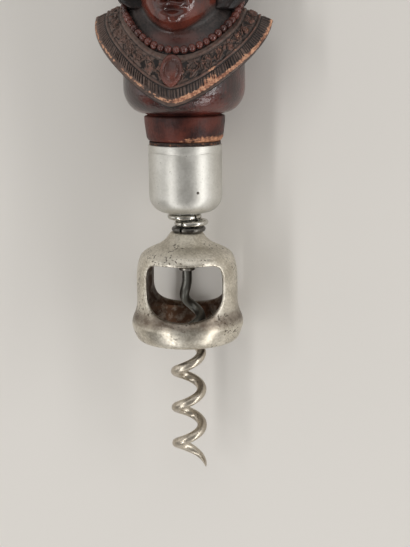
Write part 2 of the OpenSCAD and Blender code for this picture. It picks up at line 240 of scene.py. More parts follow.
def ease(low, high, value):
    t = np.clip((value - low) / (high - low), 0, 1)
    return t * t * (3 - 2 * t)


def worm_wire(u):
    """Radius of the wire u turns up from the point."""
    return SHANK_R * min(1, max(GROUND_LEFT, (u / GROUND_TURN) ** 0.55))


def bell_shade_on_worm(place):
    """Mask of the wire inside the bell, where its colour is painted darker as the bell's shade."""
    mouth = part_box("bell")[0].y
    return along_axis(place, 1).band(mouth, mouth + 0.006)


path, radii = [], []
for i in range(int(COIL_TURNS * RINGS_PER_TURN) + 1):
    u = min(COIL_TURNS, i / RINGS_PER_TURN)
    lead = max(0, (u - COIL_TURNS) / LEAD_TURN + 1)
    sweep = COIL_R * (1 - float(ease(0, 1, lead))) + 0.8 * (SHANK_R - worm_wire(u))
    drop = TIP_DROP * (1 - min(1, u / TIP_DROP_TURN)) ** 2
    climb = COIL_PITCH * u + LEAD_RISE * lead ** 1.5
    path.append(Vector((sweep * math.cos(2 * math.pi * u), sweep * math.sin(2 * math.pi * u),
                        WORM_TIP + TIP_MARGIN + TIP_DROP + climb - drop)))
    radii.append(worm_wire(u))
for z in (LEAD_Z + 0.8, LEAD_Z + 2, LEAD_Z + 6, SHANK_TOP):
    path.append(Vector((0, 0, z)))
    radii.append(SHANK_R)
bm = bmesh.new()
wire(bm, path, radii, WIRE_SIDES)
# Inside the bell the wire's colour is painted a darker grey, as shade.
worm_plate = aged_metal("worm_plate", bright=(0.62, 0.56, 0.465), dull=(0.41, 0.36, 0.29), roughness=0.34,
                        pit_share=0.03, pit_mm=0.5, grime=0.7, shaded=bell_shade_on_worm, shade=(0.22, 0.217, 0.195))
worm = piece(bm, "worm_wire", worm_plate, 60)
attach(worm, "handle")
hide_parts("worm")

# Ferrule: a cup drawn from nickel-plated sheet, its floor rounded up into the wall.
# It is pushed over the bust's tenon, and the shank leaves through a hole in its floor.
FERRULE_R = (ferrule_high.x - ferrule_low.x) * 500
FERRULE_CORNER = 4.6
SHEET, LIP_OUT, LIP_IN = 0.8, 0.25, 0.2
CUP_FLOOR = FERRULE_FLOOR + 0.4
HOLE_R = SHANK_R + 0.2
LINE_Z, LINE_HALF, LINE_DEPTH = -2.05, 0.15, 0.06


def arc(x, z, radius, start, end, steps=10):
    """Points of a rounded corner in a turned outline, between two angles in degrees."""
    turns = [math.radians(start + (end - start) * i / steps) for i in range(steps + 1)]
    return [(x + radius * math.cos(a), z + radius * math.sin(a)) for a in turns]


def turned(bm, outline, steps=128, closed=True):
    """Spins an outline of radius and height once round the shank."""
    verts = [bm.verts.new((r, 0, z)) for r, z in outline]
    edges = [bm.edges.new(pair) for pair in zip(verts, verts[1:] + verts[:1] if closed else verts[1:])]
    bmesh.ops.spin(bm, geom=verts + edges, axis=(0, 0, 1), cent=(0, 0, 0), angle=2 * math.pi, steps=steps,
                   use_merge=True)
    bmesh.ops.remove_doubles(bm, verts=bm.verts, dist=1e-4)


bm = bmesh.new()
turned(bm, [(HOLE_R, CUP_FLOOR)]
       + arc(FERRULE_R - FERRULE_CORNER, CUP_FLOOR + FERRULE_CORNER, FERRULE_CORNER, -90, 0, 14)
       + [(FERRULE_R, -11), (FERRULE_R, -6), (FERRULE_R, LINE_Z - LINE_HALF),
          (FERRULE_R - LINE_DEPTH, LINE_Z), (FERRULE_R, LINE_Z + LINE_HALF), (FERRULE_R, -1.2)]
       + arc(FERRULE_R - LIP_OUT, -LIP_OUT, LIP_OUT, 0, 90, 4)
       + arc(FERRULE_R - SHEET + LIP_IN, -LIP_IN, LIP_IN, 90, 180, 4)
       + arc(FERRULE_R - FERRULE_CORNER, CUP_FLOOR + FERRULE_CORNER, FERRULE_CORNER - SHEET, 0, -90, 8)
       + [(HOLE_R, CUP_FLOOR + SHEET)])
ferrule_nickel = aged_metal("ferrule_nickel", bright=(0.66, 0.645, 0.6), dull=(0.56, 0.545, 0.5),
                            roughness=0.46, pit_share=0.03, pit_mm=0.5)
ferrule = piece(bm, "ferrule_cup", ferrule_nickel)
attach(ferrule, "handle")
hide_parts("ferrule")

# Foot of the bust: turned from the same wood as the figure, with a dark neck above the ferrule,
# a narrow base and a wide drum that runs up under the cape. Stained red-brown and lacquered,
# and worn to bare wood on its lowest edge.
NECK_R, NECK_H = 9.3, 0.8
BASE_R, BASE_H, BASE_TAPER, BASE_CORNER = 10.5, 6.6, 0.5, 1.6
BASE_TOP = NECK_H + BASE_H
RECESS_H = 0.6
DRUM_R, DRUM_ROUND, DRUM_RISE = 15.7, 5.8, 6.7
DRUM_Z = BASE_TOP + RECESS_H
DRUM_FULL, DRUM_TOP = 12.4, 25.4
POINT_Z, SHOULDER_Z = 10.0, 30.4
LEFT_LEAN = 1.5
BACK = 14.9
BARE_WOOD = (0.56, 0.27, 0.15)


def planed(bm):
    """Cuts the flat back that the bust lies on, and closes the cut."""
    cut = bmesh.ops.bisect_plane(bm, geom=bm.verts[:] + bm.edges[:] + bm.faces[:], plane_co=(0, BACK, 0),
                                 plane_no=(0, 1, 0), clear_outer=True)["geom_cut"]
    rim = [g for g in cut if isinstance(g, bmesh.types.BMEdge)]
    bmesh.ops.triangle_fill(bm, use_beauty=True, edges=rim)


def lean(a):
    """How much higher the cape and necklace were carved on the left, and a little lower on the right."""
    turn = np.abs(a)
    left = np.abs(np.sin(turn)) ** 1.5
    right = -0.53 * np.sin(np.minimum(math.pi, 2 * turn))
    return LEFT_LEAN * np.where(a < 0, left, right)


def cape_edge_z(a):
    """Height of the cape's lower edge, at an angle from the front."""
    t = np.abs(a) / (math.pi / 2)
    front = POINT_Z + (SHOULDER_Z - POINT_Z) * np.minimum(t, 1) ** 1.4
    return lean(a) + np.where(t < 1, front, SHOULDER_Z - 2 * ease(0, 1.1, t - 1))


def lacquer(name, dark, red, roughness, worn=None, dull=None, specular=0.5, pebbled=0.6):
    """Red-brown stain under a pebbled gloss lacquer, with masks for what is worn bare or black with dirt."""
    material, place, feed = new_finish(name, specular=specular)
    cloud = place.noise(0.12, 4, 0.6)
    grain = place.stretched(1, 0.09, 1).noise(1.9, 3, 0.6)
    pebble = place.noise(1.6, 3, 0.55)
    colour = (0.85 * cloud + 0.15 * grain).band(0.38, 0.64).mixed(dark, red)
    rough = roughness + 0.25 * (cloud - 0.5) + 0.15 * (pebble - 0.5)
    if dull:
        dirt = dull(place)
        patchy = (0.5 * cloud + 0.5 * pebble).band(0.4, 0.65)
        colour = dirt.mixed(colour, patchy.mixed((0.014, 0.01, 0.009), (0.06, 0.042, 0.037)))
        rough = rough + 0.34 * dirt
    if worn:
        bare = worn(place)
        colour = bare.mixed(colour, grain.band(0.4, 0.6).mixed((0.3, 0.13, 0.07), BARE_WOOD))
        rough = rough + 0.3 * bare
    feed(Base_Color=colour, Roughness=rough, Normal=relief(0.85 * pebble + 0.15 * grain, 0.24, pebbled))
    return material


def foot_wear(place):
    """Broken bare line on the base's lower edge, wider to the right, and specks on the dark neck."""
    up, right = along_axis(place, 1) - ferrule_high.y, along_axis(place, 0).band(-0.003, 0.0085)
    ragged = place.noise(1.1, 4, 0.7)
    streak = place.stretched(0.3, 1, 0.3).noise(1.6, 3, 0.6)
    edge = (up - 0.0007 * right - 0.0022 * (ragged - 0.5)).band(0.0019, 0.0012) * up.band(0.0007, 0.001)
    specks = up.band(0.0009, 0.0006) * ragged.band(0.55, 0.66)
    return edge * (0.5 * right + 0.8 * (ragged - 0.5) + 0.9 * (streak - 0.5)).band(0.14, 0.4) + 0.8 * specks


def foot_dirt(place):
    """Black dirt in the neck above the ferrule."""
    return (along_axis(place, 1) - ferrule_high.y).band(0.0011, 0.0008)


drum_corner = arc(DRUM_R - DRUM_ROUND, 0, DRUM_ROUND, -90, 0, 18)
bm = bmesh.new()
turned(bm, [(0, 0.05), (NECK_R, 0.05), (NECK_R, NECK_H)]
       + arc(BASE_R - BASE_TAPER - BASE_CORNER, NECK_H + BASE_CORNER, BASE_CORNER, -80, 0, 8)
       + [(BASE_R - 0.5 * BASE_TAPER, NECK_H + 3.4), (BASE_R - 0.1 * BASE_TAPER, NECK_H + 5),
          (BASE_R, BASE_TOP - 0.6)]
       + arc(BASE_R - 0.5, BASE_TOP - 0.4, 0.5, 10, 80, 5)
       + [(BASE_R - 0.9, DRUM_Z - 0.3), (BASE_R - 0.6, DRUM_Z)]
       + [(r, DRUM_Z + DRUM_RISE + DRUM_RISE / DRUM_ROUND * z) for r, z in drum_corner]
       + [(DRUM_R, 17.5), (DRUM_R, 20), (DRUM_R, 22.4), (DRUM_R, 24.6)]
       + [(DRUM_R - 1, DRUM_TOP), (0, DRUM_TOP)], closed=False)
for vert in bm.verts:
    cape_edge = float(cape_edge_z(math.atan2(vert.co.x, -vert.co.y)))
    under_cape = min(DRUM_TOP, max(DRUM_FULL + 0.6, cape_edge + 1.8))
    if vert.co.z > DRUM_FULL:
        vert.co.z = DRUM_FULL + (vert.co.z - DRUM_FULL) * (under_cape - DRUM_FULL) / (DRUM_TOP - DRUM_FULL)
planed(bm)
drum_lacquer = lacquer("drum_lacquer", dark=(0.018, 0.006, 0.0055), red=(0.1, 0.019, 0.013), roughness=0.05,
                       specular=0.7, pebbled=0.55)
base_lacquer = lacquer("base_lacquer", dark=(0.026, 0.01, 0.009), red=(0.11, 0.027, 0.018), roughness=0.4,
                       worn=foot_wear, dull=foot_dirt, specular=0.22)
foot = piece(bm, "turned_foot", drum_lacquer)
foot.data.materials.append(base_lacquer)
for face in foot.data.polygons:
    face.material_index = int(face.center.y < ferrule_high.y + (DRUM_Z - 0.1) / 1000)
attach(foot, "handle")
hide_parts("bust")

# Cape: the figure's broad collar, carved in the same wood: a ribbed fringe along the edge, a raised line,
# a panel of vine scrolls and rosettes, and a second line under the beads. Dust has greyed the hollows
# and handling has worn the edge down to bare wood.
CAPE_HALF_W, CAPE_OUT, CAPE_BACK = 22.9, 17.4, 15.6
CAPE_EDGE = 1.4
LIP_CURVE = ((0.4, 0), (0.2, 0.04), (0.06, 0.17), (0.02, 0.38), (0.01, 0.6), (0.03, 0.78), (0.1, 0.93))
NECKLACE_Z, BEAD_SEAT = 24.0, 1.265
RIB_PITCH, RIB_DEPTH, FRINGE_W = 0.82, 0.18, 2.7
VINE_WAVE, LEAF_STEP = 8.8, 2.4
CAPE_COLUMNS, TOP_ROWS = 1000, 62


def oval(a, half_w, front, back, n=2.0):
    """Distance from the shank to an oval, at an angle from the front."""
    depth = np.where(np.cos(a) > 0, front, back)
    return ((np.abs(np.sin(a)) / half_w) ** n + (np.abs(np.cos(a)) / depth) ** n) ** (-1 / n)


def cape_edge_r(a):
    return np.where(np.cos(a) > 0, oval(a, CAPE_HALF_W, CAPE_OUT, CAPE_BACK, 1.9),
                    oval(a, CAPE_HALF_W, CAPE_OUT, CAPE_BACK, 2.3))


def necklace_z(a):
    side = np.sin(np.minimum(np.abs(a), math.pi / 2))
    rise = (SHOULDER_Z + 2.8 - NECKLACE_Z) * side ** 2.15
    return NECKLACE_Z + rise + 2.6 * ease(1.15, 1.68, np.abs(a)) + lean(a)


def necklace_r(a):
    return oval(a, 15.0, 14.3, CAPE_BACK + 0.2)


def polar(a, r, z):
    return np.stack([r * np.sin(a), -r * np.cos(a), z + 0 * a], -1)


def cape_thick(a):
    """Thickness of the cape at its edge, least at the shoulder points."""
    return CAPE_EDGE * (1 - 0.5 * ease(0.7, 1.57, np.abs(a)))


def cape_top(a, t):
    """Point of the cape's upper face, t from its edge to the necklace."""
    z = (1 - t) * (cape_edge_z(a) + cape_thick(a)) + t * (necklace_z(a) - BEAD_SEAT)
    r = (1 - t) * cape_edge_r(a) + t * necklace_r(a) + 0.7 * np.sin(math.pi * t) * np.maximum(0, np.cos(a))
    return polar(a, r, z)


def ridge(distance, width):
    return np.exp(-(distance / width) ** 2)


def carving(s, w, room, draw):
    """Height of the carving s along the edge and w in from it, where the cape is room wide."""
    jitter = np.interp(s, np.arange(-120, 121) * 0.9, draw.uniform(-1, 1, 241))
    worn_off = np.interp(s, np.arange(-60, 61) * 2.1, draw.uniform(0.35, 1.15, 121))
    rib = worn_off * np.cos(2 * math.pi * (s + 0.07 * w + 0.3 * jitter) / RIB_PITCH)
    wobble = (0.3 * np.sin(1.9 * s + 2.3 * w + 1) + 0.24 * np.sin(2.9 * s - 1.7 * w + 4)
              + 0.12 * np.sin(6.1 * s + 5.3 * w))
    wander = (0.3 * np.sin(2.2 * s - 1.6 * w + 2) + 0.24 * np.sin(1.4 * s + 3.1 * w + 5)
              + 0.12 * np.sin(5.3 * s - 6.7 * w))
    fringe = ease(0.2, 0.7, w) * (1 - ease(FRINGE_W - 0.45, FRINGE_W - 0.1, w))
    height = RIB_DEPTH * (rib * (0.75 + 0.25 * jitter)) * fringe - 0.1 * fringe
    height += 0.26 * (0.6 + 0.4 * jitter) * ridge(w - FRINGE_W - 0.42, 0.3)
    height -= 0.24 * ridge(w - FRINGE_W + 0.04, 0.22) + 0.16 * ridge(w - FRINGE_W - 0.95, 0.24)
    height += 0.2 * (0.5 + 0.5 * jitter) * ridge(room - w - 1.0, 0.3) - 0.16 * ridge(room - w - 1.6, 0.26)
    s, w = s + wobble, w + wander
    low, high = FRINGE_W + 1.1, room - 1.8
    middle, reach = (low + high) / 2, np.maximum(0.3, (high - low) / 2)
    panel = ease(0, 0.4, w - low) * (1 - ease(-0.4, 0, w - high))
    vine = middle + 0.66 * reach * np.sin(2 * math.pi * (s + 0.5 * jitter) / VINE_WAVE)
    scroll = 0.3 * ridge(w - vine, 0.3)
    cell = np.floor(s / (VINE_WAVE / 2))
    centre_s = (cell + 0.5) * VINE_WAVE / 2
    centre_w = middle - 0.34 * reach * np.where(cell % 2 == 0, 1, -1)
    du, dw = s - centre_s, w - centre_w
    from_centre = np.hypot(du, dw)
    size = np.minimum(1.45, 0.56 * reach) * (1 + 0.16 * np.sin(7.3 * cell))
    petals = 0.5 + 0.5 * np.cos(5 * np.arctan2(dw, du))
    rosette = 0.32 * ridge(from_centre - size, 0.26) + 0.34 * ridge(from_centre, 0.34)
    rosette += 0.16 * petals * ridge(from_centre - 0.6 * size, 0.3)
    leaf_s = (np.floor(s / LEAF_STEP) + 0.5) * LEAF_STEP
    leaf = 0.16 * ridge(np.hypot(s - leaf_s, (w - vine - 0.95) * 1.4), 0.42)
    leaf += 0.16 * ridge(np.hypot(s - leaf_s - 0.8, (w - vine + 0.95) * 1.4), 0.42)
    return 1.15 * height + 1.6 * panel * (np.maximum(np.maximum(scroll, rosette), leaf) - 0.14)


def lengths_along(points):
    """Distance from the first of a line of points to each of them, along the line."""
    return np.concatenate([[0], np.cumsum(np.linalg.norm(np.diff(points, axis=0), axis=1))])


turns = np.linspace(-math.pi, math.pi, 8001)
along = lengths_along(polar(turns, cape_edge_r(turns), cape_edge_z(turns)))
along -= along[-1] / 2
column_s = np.linspace(along[0], along[-1], CAPE_COLUMNS + 1)
column_a = np.interp(column_s, along, turns)
a = column_a[:, None]
top = cape_top(a, np.linspace(0.045, 1, TOP_ROWS + 1)[None, :])
edge_r, edge_z = cape_edge_r(a), cape_edge_z(a)
lip_in, lip_up = np.array(LIP_CURVE).T[:, None, :]
thick = cape_thick(a)
lip_rows = polar(a, edge_r - thick * lip_in, edge_z + thick * lip_up)
under = np.array([0.0, 0.3, 0.6, 0.85])[None, :]
root_r = DRUM_R - 1.2
root_z = edge_z + 0.9 + (SHOULDER_Z - 7.5 - edge_z) * ease(0.66, 1.5, np.abs(a))
under_rows = polar(a, root_r + (edge_r - 0.5 - root_r) * under, root_z + (edge_z - root_z) * under)
inner = np.array([0.25, 0.5, 0.75, 1.0])[None, :]
inner_rows = polar(a, necklace_r(a) - 2 * inner, necklace_z(a) - 0.8 - 4 * inner)
grid = np.concatenate([under_rows, lip_rows, top, inner_rows, under_rows[:, :1]], axis=1)
first_lip = under_rows.shape[1]
first_top = first_lip + lip_rows.shape[1]
upper = slice(first_top, first_top + TOP_ROWS + 1)
step = np.linalg.norm(np.diff(top, axis=1), axis=2)
inward = np.concatenate([np.zeros((CAPE_COLUMNS + 1, 1)), np.cumsum(step, axis=1)], axis=1)
room = inward[:, -1:]
carved = carving(column_s[:, None], inward, room, np.random.default_rng(7))
carved *= ease(0, 0.5, room - inward)
heights = np.zeros(grid.shape[:2])
heights[:, upper] = carved
normal = np.cross(np.gradient(grid, axis=0), np.gradient(grid, axis=1))
normal /= np.maximum(1e-9, np.linalg.norm(normal, axis=2, keepdims=True))
upward = normal[:, first_top:first_top + 20, 2]
outward = np.sign(np.sum(upward, axis=1))[:, None, None]
grid = grid + normal * outward * heights[..., None]
# The underside and the foot of the lip count as hollows, so they are painted near black as shade.
heights[:, :first_top - 4] = -0.3
# Wear is least on the left, runs wider on the right, and has two bruises there.
turn = np.degrees(a)
rubbed = ease(-4, 14, turn) * (1 - 0.35 * ease(60, 85, turn))
edge_wear = np.zeros(grid.shape[:2])
edge_wear[:, upper] = np.exp(-inward / (0.6 + 0.64 * rubbed))
edge_wear[:, first_lip:first_top] = np.linspace(0, 1, lip_rows.shape[1]) ** 2
edge_wear *= 0.84 + 0.24 * rubbed
edge_wear[:, upper] += np.exp(-((turn - 34) / 4) ** 2 - ((inward - 3.2) / 0.6) ** 2)
edge_wear[:, upper] += np.exp(-((turn - 31) / 6) ** 2 - ((inward - 0.9) / 1.4) ** 2)


def sheet_of(bm, grid, **values):
    """Drapes a plain grid over a table of points, closes its seams, and keeps named values on its points."""
    columns, rows = grid.shape[0] - 1, grid.shape[1] - 1
    bmesh.ops.create_grid(bm, x_segments=columns, y_segments=rows, size=1)
    layers = {name: bm.verts.layers.float.new(name) for name in values}
    for vert in bm.verts:
        i, j = round((vert.co.x + 1) / 2 * columns), round((vert.co.y + 1) / 2 * rows)
        vert.co = grid[i, j]
        for name, layer in layers.items():
            vert[layer] = values[name][i, j]
    bmesh.ops.remove_doubles(bm, verts=bm.verts, dist=2e-3)


bm = bmesh.new()
sheet_of(bm, grid, carved=heights, wear=edge_wear)
planed(bm)


def attribute(place, name):
    return place.node("ShaderNodeAttribute", {"attribute_name": name}, {}, 2)


cape_finish, place, feed = new_finish("cape_stain", specular=0.3)
high = attribute(place, "carved")
worn = attribute(place, "wear")
cloud = place.noise(0.13, 4, 0.6)
fleck = place.noise(1.2, 4, 0.7)
left = along_axis(place, 0).band(0.002, -0.016)
dusty = (0.6 * cloud + 0.4 * fleck + 0.1 * left).band(0.35, 0.7)
dust = dusty.mixed((0.042, 0.027, 0.022), (0.155, 0.103, 0.083))
proud = (high + 0.3 * (fleck - 0.5)).band(0.02, 0.34)
stain = (proud * (1 - 0.55 * left)).mixed(dust, (0.19, 0.092, 0.068))
# Carved hollows go near black; on the lip's underside and foot the same near black is painted shade.
hollow_and_underside_shade = (high + 0.1 * (fleck - 0.5)).band(-0.05, -0.24)
dark = hollow_and_underside_shade.mixed(stain, (0.012, 0.009, 0.008))
bare = (worn + 1.8 * (fleck - 0.5) + 0.8 * (cloud - 0.5) + 3 * worn * (high + 0.1)).band(0.88, 1.2)
crest = (high + 0.3 * (fleck - 0.5)).band(0.1, 0.3)
scuff = place.noise(0.8, 2, 0.5).band(0.63, 0.7) * crest * along_axis(place, 0).band(0, 0.006)
pale = fleck.band(0.4, 0.62).mixed((0.27, 0.11, 0.065), (0.66, 0.36, 0.22))
feed(Base_Color=(bare + scuff).mixed(dark, pale),
     Roughness=0.36 + 0.3 * (cloud - 0.5) + 0.25 * bare - 0.1 * proud,
     Normal=relief(0.6 * fleck + 0.4 * place.noise(3.1, 2, 0.6), 0.16, 0.6))
cape = piece(bm, "carved_cape", cape_finish, 80)
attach(cape, "handle")
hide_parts("bust")

# Brooch: a pointed oval boss left proud of the cape under the necklace, with a rim, a sunk channel
# and a domed stone in the middle. Carved in the wood and lacquered redder than the cape.
BROOCH_Z, BROOCH_W, BROOCH_H = 19.0, 5.6, 8.4
BROOCH_ROOT, BROOCH_SUNK = -1.4, 0.12
BROOCH_STEPS = ((1, -0.1), (0.99, 0.2), (0.95, 0.42), (0.89, 0.54), (0.82, 0.56), (0.75, 0.5), (0.69, 0.34),
                (0.64, 0.22), (0.6, 0.24), (0.55, 0.42), (0.47, 0.58), (0.36, 0.68), (0.22, 0.74),
                (0.08, 0.76))


def cape_spot(a, z):
    """Point and outward direction of the cape's upper face, at an angle and height."""
    share = np.linspace(0.01, 0.99, 400)
    line = cape_top(np.full_like(share, a), share)
    k = int(np.argmin(np.abs(line[:, 2] - z)))
    spot = Vector(line[k])
    along = Vector(line[k + 1]) - Vector(line[k - 1])
    side = Vector(cape_top(np.array([a + 0.01]), np.array([share[k]]))[0]) - spot
    return spot, side.cross(along).normalized(), along.normalized()


spot, out, up = cape_spot(0.0, BROOCH_Z)
bm = bmesh.new()
outline = bmesh.ops.create_circle(bm, cap_ends=True, segments=64, radius=1)["verts"]
for vert in outline:
    x, y = vert.co.x, vert.co.y
    vert.co = (x * BROOCH_W / 2 * (1 - 0.3 * max(0, -y) ** 3), y * BROOCH_H / 2, BROOCH_ROOT)
face = next(iter(bm.faces))
share = 1.0
for size, height in BROOCH_STEPS:
    face = bmesh.ops.extrude_discrete_faces(bm, faces=[face])["faces"][0]
    bmesh.ops.scale(bm, verts=face.verts, vec=(size / share, size / share, 1))
    bmesh.ops.translate(bm, verts=face.verts, vec=(0, 0, height - face.verts[0].co.z))
    share = size
seat = Matrix.Translation(spot - BROOCH_SUNK * out) @ Matrix((up.cross(out), up, out)).transposed().to_4x4()
bmesh.ops.transform(bm, verts=bm.verts, matrix=seat)
brooch_lacquer = lacquer("brooch_lacquer", dark=(0.06, 0.021, 0.016), red=(0.17, 0.052, 0.036),
                         roughness=0.26)
brooch = piece(bm, "brooch", brooch_lacquer, 70)
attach(brooch, "handle")
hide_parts("bust")

# Necklace: one string of carved beads round the neck, from hair to hair.
# Each bead is a little uneven, as cut by hand, and they sit close together on the cape's inner edge.
BEAD_PITCH, BEAD_SIZE = 1.95, 2.0
NECKLACE_END = math.radians(100)
turns = np.linspace(-NECKLACE_END, NECKLACE_END, 2001)
string = polar(turns, necklace_r(turns) - 0.1, necklace_z(turns))
along = lengths_along(string)
draw = random.Random(11)
bm = bmesh.new()
for i in range(int(along[-1] / BEAD_PITCH)):
    s = (i + 0.5) * BEAD_PITCH
    where = Vector([float(np.interp(s, along, string[:, k])) for k in range(3)])
    size = BEAD_SIZE / 2 * draw.uniform(0.9, 1.06)
    shape = Matrix.Diagonal((size * draw.uniform(0.9, 1.02), size, size * draw.uniform(0.96, 1.12), 1))
    turn = Matrix.Rotation(draw.uniform(0, 3), 4, "Z") @ Matrix.Rotation(draw.uniform(0, 3), 4, "X")
    bmesh.ops.create_uvsphere(bm, u_segments=16, v_segments=10, radius=1,
                              matrix=Matrix.Translation(where) @ turn @ shape)
bead_lacquer = lacquer("bead_lacquer", dark=(0.035, 0.014, 0.012), red=(0.145, 0.045, 0.034), roughness=0.16,
                       pebbled=0.4)
necklace = piece(bm, "bead_necklace", bead_lacquer, 70)
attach(necklace, "handle")
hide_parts("bust")

# Head and chest: one smooth carved form from under the beads to the crown, in the same lacquered wood.
# The face is a plain calm one on the usual proportions, eyes half way up, with cut lids and lips.
CHIN_Z, HEAD_H = 28.8, 35.6
FACE_HALF_W, CHIN_OUT = 11.7, 15.0
EYE_X, EYE_Z, EYE_HALF_W = 4.7, 17.9, 2.45
MOUTH_Z, MOUTH_HALF_W = 7.0, 4.0
FLOOR_Z, CHIN_FOLD = 21.4, 1.2
HEAD_COLUMNS, HEAD_ROWS = 330, 250
FACE_WIDTH = ((-0.06, 0.05), (-0.02, 0.2), (0, 0.36), (0.05, 0.6), (0.13, 0.8), (0.25, 0.92), (0.42, 1),
              (0.58, 1.01), (0.75, 0.98), (0.88, 0.78), (0.96, 0.44), (1, 0.04))
FACE_FRONT = ((-0.06, 0.2), (-0.02, 0.62), (0, 0.8), (0.035, 0.95), (0.08, 1), (0.15, 0.95), (0.22, 0.96),
              (0.32, 0.94), (0.45, 0.93), (0.55, 0.91), (0.63, 0.94), (0.75, 0.91), (0.87, 0.74),
              (0.96, 0.42), (1, 0.04))


def curve(stations, value):
    """Smooth curve through (position, value) stations, level beyond both ends."""
    x, y = np.array(stations).T
    slope = np.gradient(y, x)
    i = np.clip(np.searchsorted(x, value) - 1, 0, len(x) - 2)
    h = x[i + 1] - x[i]
    t = np.clip((value - x[i]) / h, 0, 1)
    return ((2 * t ** 3 - 3 * t ** 2 + 1) * y[i] + (t ** 3 - 2 * t ** 2 + t) * h * slope[i]
            + (3 * t ** 2 - 2 * t ** 3) * y[i + 1] + (t ** 3 - t ** 2) * h * slope[i + 1])


def capped(bm):
    """Fills what is open at the ends of a sheet."""
    bmesh.ops.holes_fill(bm, edges=[e for e in bm.edges if e.is_boundary], sides=0)


def hill(x, z, half_w, half_h):
    return np.exp(-(x / half_w) ** 2 - (z / half_h) ** 2)


def features(x, z):
    """How far the face stands out from its plain oval, x across and z up from the chin."""
    side = np.abs(x)
    high = z / HEAD_H
    bridge = np.interp(high, (0.29, 0.325, 0.355, 0.42, 0.5, 0.57, 0.64),
                       (0, 2.4, 3.3, 2.4, 1.35, 0.7, 0))
    width = np.interp(high, (0.3, 0.35, 0.42, 0.5, 0.6), (1.5, 1.55, 1.2, 1.05, 1.7))
    rise = bridge * ridge(x, width)
    rise += 1.25 * hill(side - 1.85, z - 11.9, 0.85, 1.0) - 0.7 * hill(side - 0.95, z - 10.9, 0.5, 0.4)
    dx, dz = side - EYE_X, z - EYE_Z
    rise -= 1.7 * hill(dx + 0.3, dz + 0.1, 2.7, 2.0)
    bow = np.sqrt(np.maximum(0, 1 - (dx / EYE_HALF_W) ** 2))
    open_up, open_low = 0.95 * bow, -0.62 * bow
    along = np.clip(1 - (np.abs(dx) / 2.7) ** 4, 0, 1)
    rise += 0.95 * hill(dx, dz - 0.1, 1.9, 1.25)
    rise += 0.42 * along * ridge(dz - open_up - 0.12, 0.3) + 0.28 * along * ridge(dz - open_low + 0.1, 0.28)
    rise -= 0.3 * along * ridge(dz - open_up + 0.34, 0.2) + 0.28 * along * ridge(dz - open_up - 0.85, 0.26)
    brow_z = 20.4 + 0.9 * (1 - ((side - 5) / 4) ** 2)
    rise += 0.75 * ridge(z - brow_z, 0.8) * ease(0.8, 2.6, side) * (1 - ease(7, 9.5, side))
    rise += 0.6 * hill(side - 6.8, z - 14.4, 2.8, 2.8)
    lip = np.clip(1 - (side / MOUTH_HALF_W) ** 2, 0, 1)
    line = MOUTH_Z + 0.16 * np.cos(side * 1.5)
    rise += 0.95 * lip ** 0.7 * ridge(z - line - 0.8 + 0.25 * ridge(x, 0.5), 0.72)
    rise += 1.1 * lip ** 0.8 * ridge(z - line + 0.95, 0.85)
    rise -= 0.75 * np.sqrt(lip) * ridge(z - line, 0.24) + 0.25 * hill(side - 4.1, z - line, 0.6, 0.7)
    rise -= 0.25 * hill(x, z - 9.4, 0.5, 0.9) + 0.45 * hill(x, z - 4.7, 2.6, 0.8)
    return rise + 0.75 * hill(x, z - 2.5, 2.8, 1.7)


column = np.linspace(-math.pi, math.pi, HEAD_COLUMNS + 1)
a = (column - 0.45 * np.sin(column))[:, None]
share = np.linspace(0, 1, HEAD_ROWS + 1)[None, :]
fold_z = CHIN_Z - CHIN_FOLD
z = np.where(share < 0.2, FLOOR_Z + (fold_z - FLOOR_Z) * share / 0.2,
             fold_z + (HEAD_H + CHIN_FOLD) * (1 - (1 - (share - 0.2) / 0.8) ** 1.22)) + 0 * a
z = np.minimum(z, CHIN_Z + HEAD_H - 0.35)
high = (z - CHIN_Z) / HEAD_H
wide = FACE_HALF_W * curve(FACE_WIDTH, high)
front = CHIN_OUT * curve(FACE_FRONT, high)
skull = oval(a, wide, front, np.minimum(front, 13.4))
ahead = np.maximum(0, np.cos(a))
skull = skull + features(skull * np.sin(a), z - CHIN_Z) * ahead ** 0.5 * ease(-0.02, 0.03, high)
chest = necklace_r(a) - 1.2
throat = np.minimum(11.0, chest)
rise = ease(necklace_z(a) - 1.2, necklace_z(a) + 4.2, z)
neck = (chest + (throat - chest) * rise) * (1 - ease(CHIN_Z + 5, CHIN_Z + 16, z))
soft = 0.9
blend = 0.5 * (skull + neck + np.sqrt((skull - neck) ** 2 + soft ** 2)) - soft / 4
rubbed = hill(skull * np.sin(a), z - CHIN_Z + 1.5, 3, 3) * (np.cos(a) > 0)
throat_dirt = (1 - ease(-0.5, 1.2, skull - neck)) * (1 - 0.6 * rubbed)
bm = bmesh.new()
sheet_of(bm, polar(a, np.maximum(0.02, blend), z), dirt=throat_dirt)
capped(bm)
planed(bm)
skin = lacquer("skin_lacquer", dark=(0.035, 0.012, 0.01), red=(0.14, 0.034, 0.022), roughness=0.12,
               dull=lambda place: attribute(place, "dirt"), pebbled=0.2)
head = piece(bm, "head_and_chest", skin, 80)
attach(head, "handle")
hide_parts("bust")

# Hair: a parted mass that falls to the shoulders in loose waves, carved as deep strands
# in the same wood and stained almost black. Its edges run in under the face and neck.
HAIR_HALF_W, LOCK_COUNT = 16.8, 18
HAIR_ENDS_Z, FRONT_LIFT = 32.6, 1.7
HAIR_COLUMNS, HAIR_ROWS = 560, 170
HAIR_WIDTH = ((-0.1, 0.9), (0, 0.93), (0.15, 0.96), (0.35, 1), (0.6, 1.0), (0.78, 0.9), (0.9, 0.66),
              (0.97, 0.36), (1, 0.06))
HAIRLINE = ((-0.1, 66), (0, 63), (0.3, 60), (0.55, 54), (0.72, 40), (0.8, 18), (0.84, 4), (1, 0))
a = np.linspace(-math.pi, math.pi, HAIR_COLUMNS + 1)[:, None]
share = np.linspace(0, 1, HAIR_ROWS + 1)[None, :]
uneven = 0.6 * np.sin(3 * a + math.pi / 3) + 0.4 * np.sin(7 * a + 2 * math.pi / 3)
